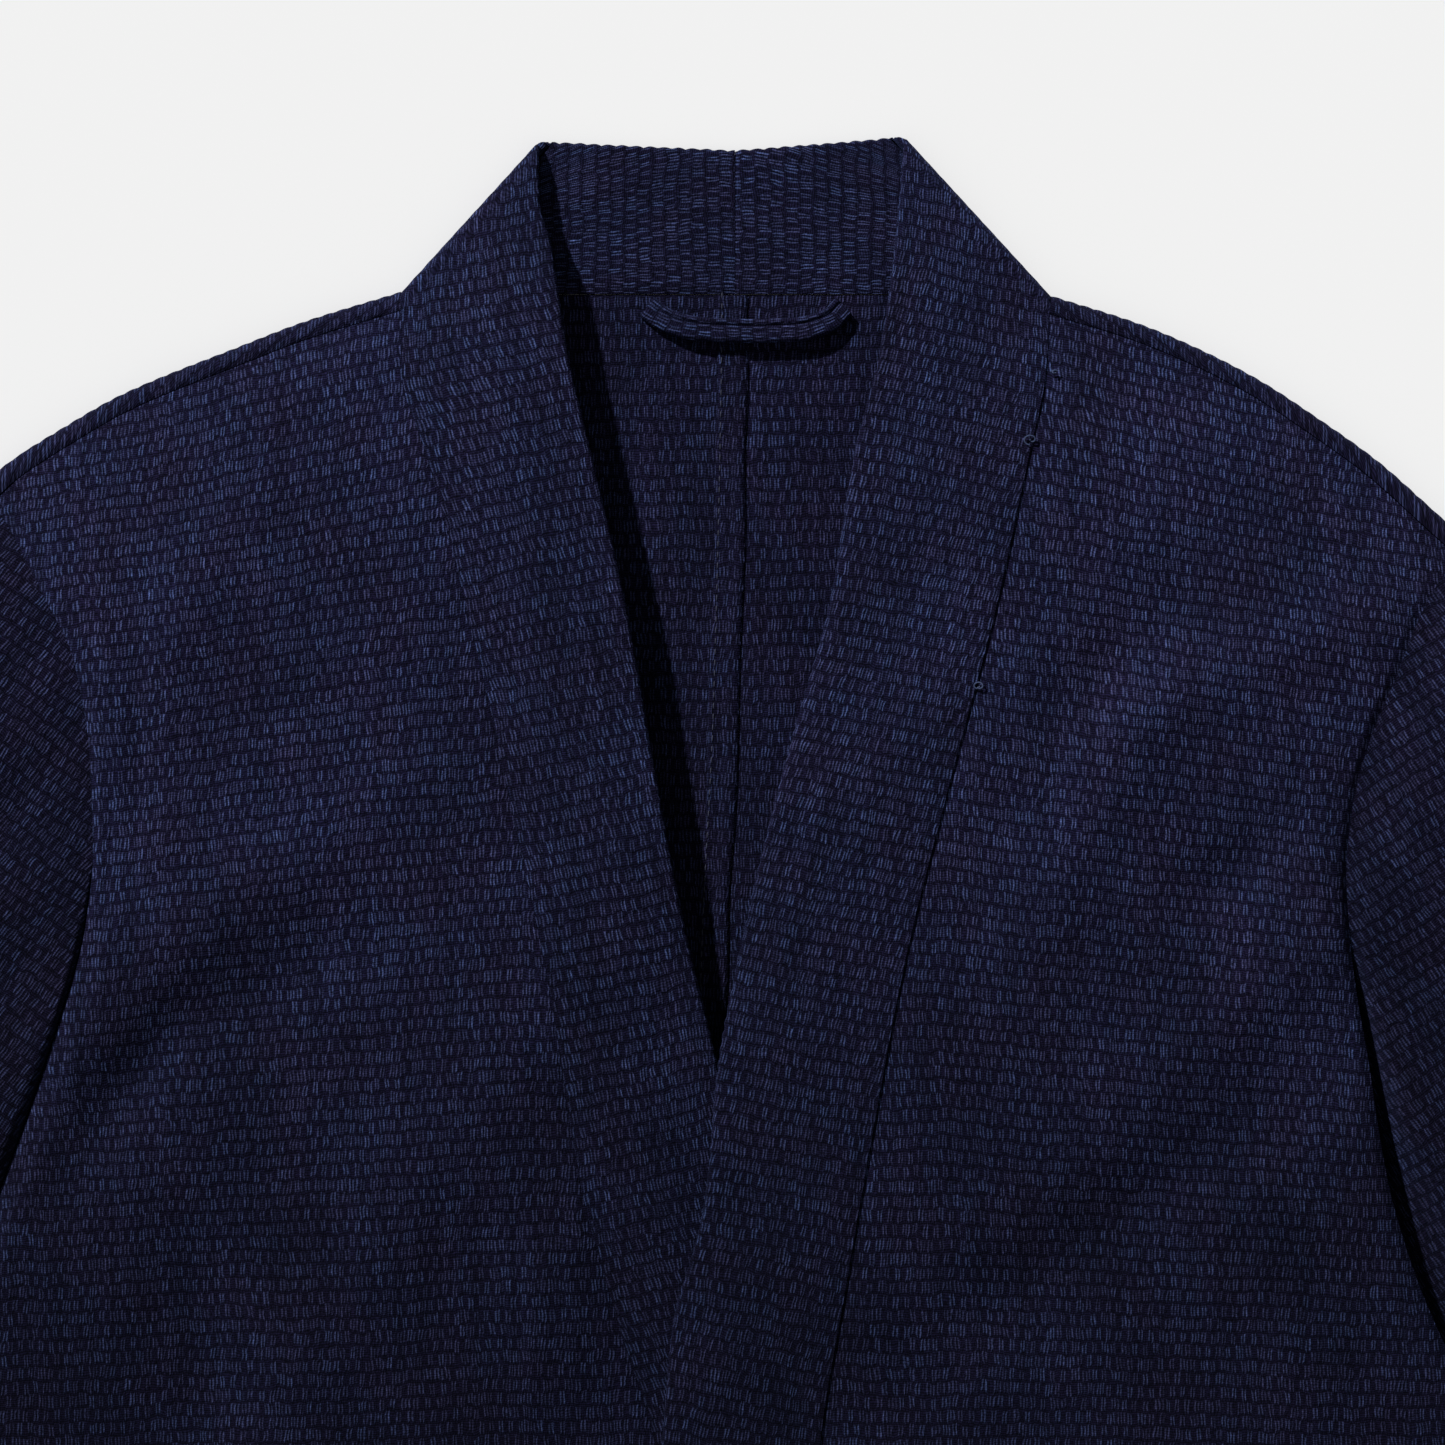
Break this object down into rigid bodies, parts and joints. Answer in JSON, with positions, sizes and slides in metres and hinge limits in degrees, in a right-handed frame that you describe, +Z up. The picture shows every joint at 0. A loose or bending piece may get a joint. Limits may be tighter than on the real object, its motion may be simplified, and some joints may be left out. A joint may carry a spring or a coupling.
{
  "type": "noragi jacket",
  "caption": "Open-fronted work jacket of textured indigo cloth, laid flat with crossed fronts, a wide collar band to the hem and a hanging loop.",
  "frame": {"origin": "centre of the base of the jacket's box, on the surface that it lies on", "axes": "+X to the viewer's right across the sleeves, +Y towards the collar, +Z up, out of the front of the jacket"},
  "size_m": [1.1362, 0.7724, 0.0197],
  "materials": {
    "body_cloth": "dark indigo rice-grain dobby weave, soft and matt",
    "band_cloth": "the same indigo weave, folded double, soft and matt",
    "sleeve_cloth": "the same indigo weave, soft and matt",
    "sewing_thread": "fine dark navy sewing thread"
  },
  "bodies": {
    "root": {"back_left": "body_cloth", "back_right": "body_cloth", "back_seam_fell": "body_cloth", "front_left": "body_cloth", "front_right": "body_cloth", "collar_left": "band_cloth", "collar_right": "band_cloth", "hanger_loop": "band_cloth", "sleeve_left": "sleeve_cloth", "sleeve_right": "sleeve_cloth"}
  },
  "joints": []
}
